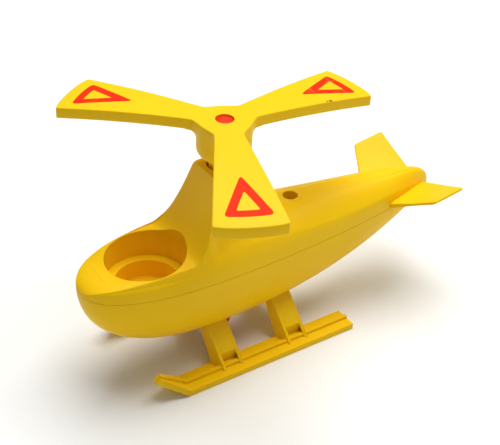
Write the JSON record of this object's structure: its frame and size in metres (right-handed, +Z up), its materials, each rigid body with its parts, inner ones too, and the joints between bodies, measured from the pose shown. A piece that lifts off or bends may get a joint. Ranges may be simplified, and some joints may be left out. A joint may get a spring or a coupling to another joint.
{
  "type": "toy helicopter",
  "caption": "Yellow moulded toy helicopter with an open round seat well, a free-spinning broad-bladed rotor, a V tail and two ski-shaped skids.",
  "frame": {"origin": "on the floor, in the middle of the bounding box in plan", "axes": "+Z up, nose towards -Y, +X to the helicopter's port side, across the skids"},
  "size_m": [0.0921, 0.127, 0.0764],
  "materials": {
    "yellow_upper": "smooth moulded plastic",
    "yellow_lower": "smooth moulded plastic",
    "yellow_fins": "smooth moulded plastic",
    "yellow_skids": "smooth moulded plastic",
    "yellow_rotor": "smooth moulded plastic",
    "red_plastic": "smooth moulded plastic",
    "label_red": "thin printed film"
  },
  "bodies": {
    "airframe": {"upper_shell": "yellow_upper", "belly_shell": "yellow_lower", "tail_fins": "yellow_fins", "skid_left": "yellow_skids", "skid_right": "yellow_skids"},
    "rotor": {"rotor": "yellow_rotor", "rotor_shaft": "red_plastic", "finger_knob": "red_plastic", "blade_label_1": "label_red", "blade_label_2": "label_red", "blade_label_3": "label_red"}
  },
  "joints": [
    {"name": "rotor_spin", "type": "hinge", "parent": "airframe", "child": "rotor", "pos_m": [-0.00174, -0.0155, 0.0762], "axis": [0.0175, 0.0227, 0.9996], "continuous": true}
  ]
}
